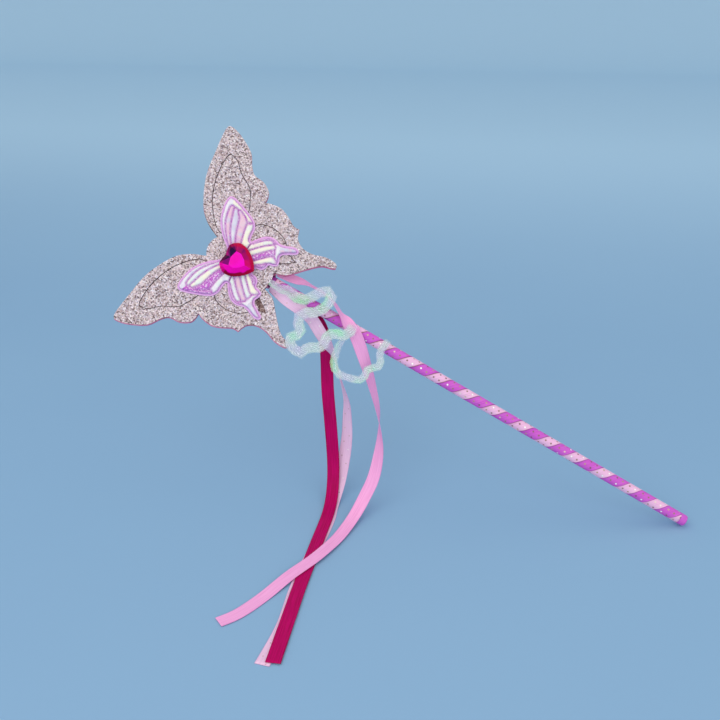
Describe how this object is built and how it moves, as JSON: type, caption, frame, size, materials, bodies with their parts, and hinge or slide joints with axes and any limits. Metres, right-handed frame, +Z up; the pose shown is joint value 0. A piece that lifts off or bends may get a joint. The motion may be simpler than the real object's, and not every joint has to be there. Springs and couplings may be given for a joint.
{
  "type": "toy fairy wand",
  "caption": "Leaning toy fairy wand: a ribbon-wound stick with a glitter foam butterfly, a padded butterfly with a heart gem on it, and a bunch of hanging ribbons",
  "frame": {"origin": "centre of the butt end face of the stick", "axes": "+Z is up; the stick lies in the XZ plane and rises from the origin towards -X at 27.5 degrees; the butterfly's face looks mostly towards -Y"},
  "size_m": [0.402, 0.2277, 0.259],
  "materials": {
    "dowel": "bare",
    "orchid_satin": "satin",
    "pale_satin": "satin with small foil dots",
    "glitter_foam": "glitter",
    "pink_foam": "matte",
    "lilac_cloth": "woven",
    "wadding": "soft",
    "holographic_film": "iridescent",
    "gem_foil": "bright",
    "magenta_gem": "clear tinted",
    "cerise_satin": "satin",
    "light_pink_satin": "satin",
    "sheer_braid": "sheer iridescent"
  },
  "bodies": {
    "wand": {"stick_core": "dowel", "end_cap": "orchid_satin", "orchid_wrap": "orchid_satin", "pale_wrap": "pale_satin", "front_butterfly": "glitter_foam", "back_butterfly": "pink_foam", "left_forewing_panel": "glitter_foam", "right_forewing_panel": "glitter_foam", "left_hindwing_panel": "glitter_foam", "right_hindwing_panel": "glitter_foam", "applique_backing": "lilac_cloth", "applique_padding": "wadding", "applique_film": "holographic_film", "gem_foil": "gem_foil", "heart_gem": "magenta_gem"},
    "ribbon_bunch": {"ribbon_tie": "orchid_satin", "cerise_ribbon": "cerise_satin", "light_pink_ribbon": "light_pink_satin", "dotted_ribbon": "pale_satin", "braid_upper": "sheer_braid", "braid_lower": "sheer_braid"}
  },
  "joints": [
    {"name": "bunch_turn", "type": "hinge", "parent": "wand", "child": "ribbon_bunch", "pos_m": [-0.29892, 0, 0.15561], "axis": [-0.887, 0, 0.4617], "range_deg": [0, 40]}
  ]
}
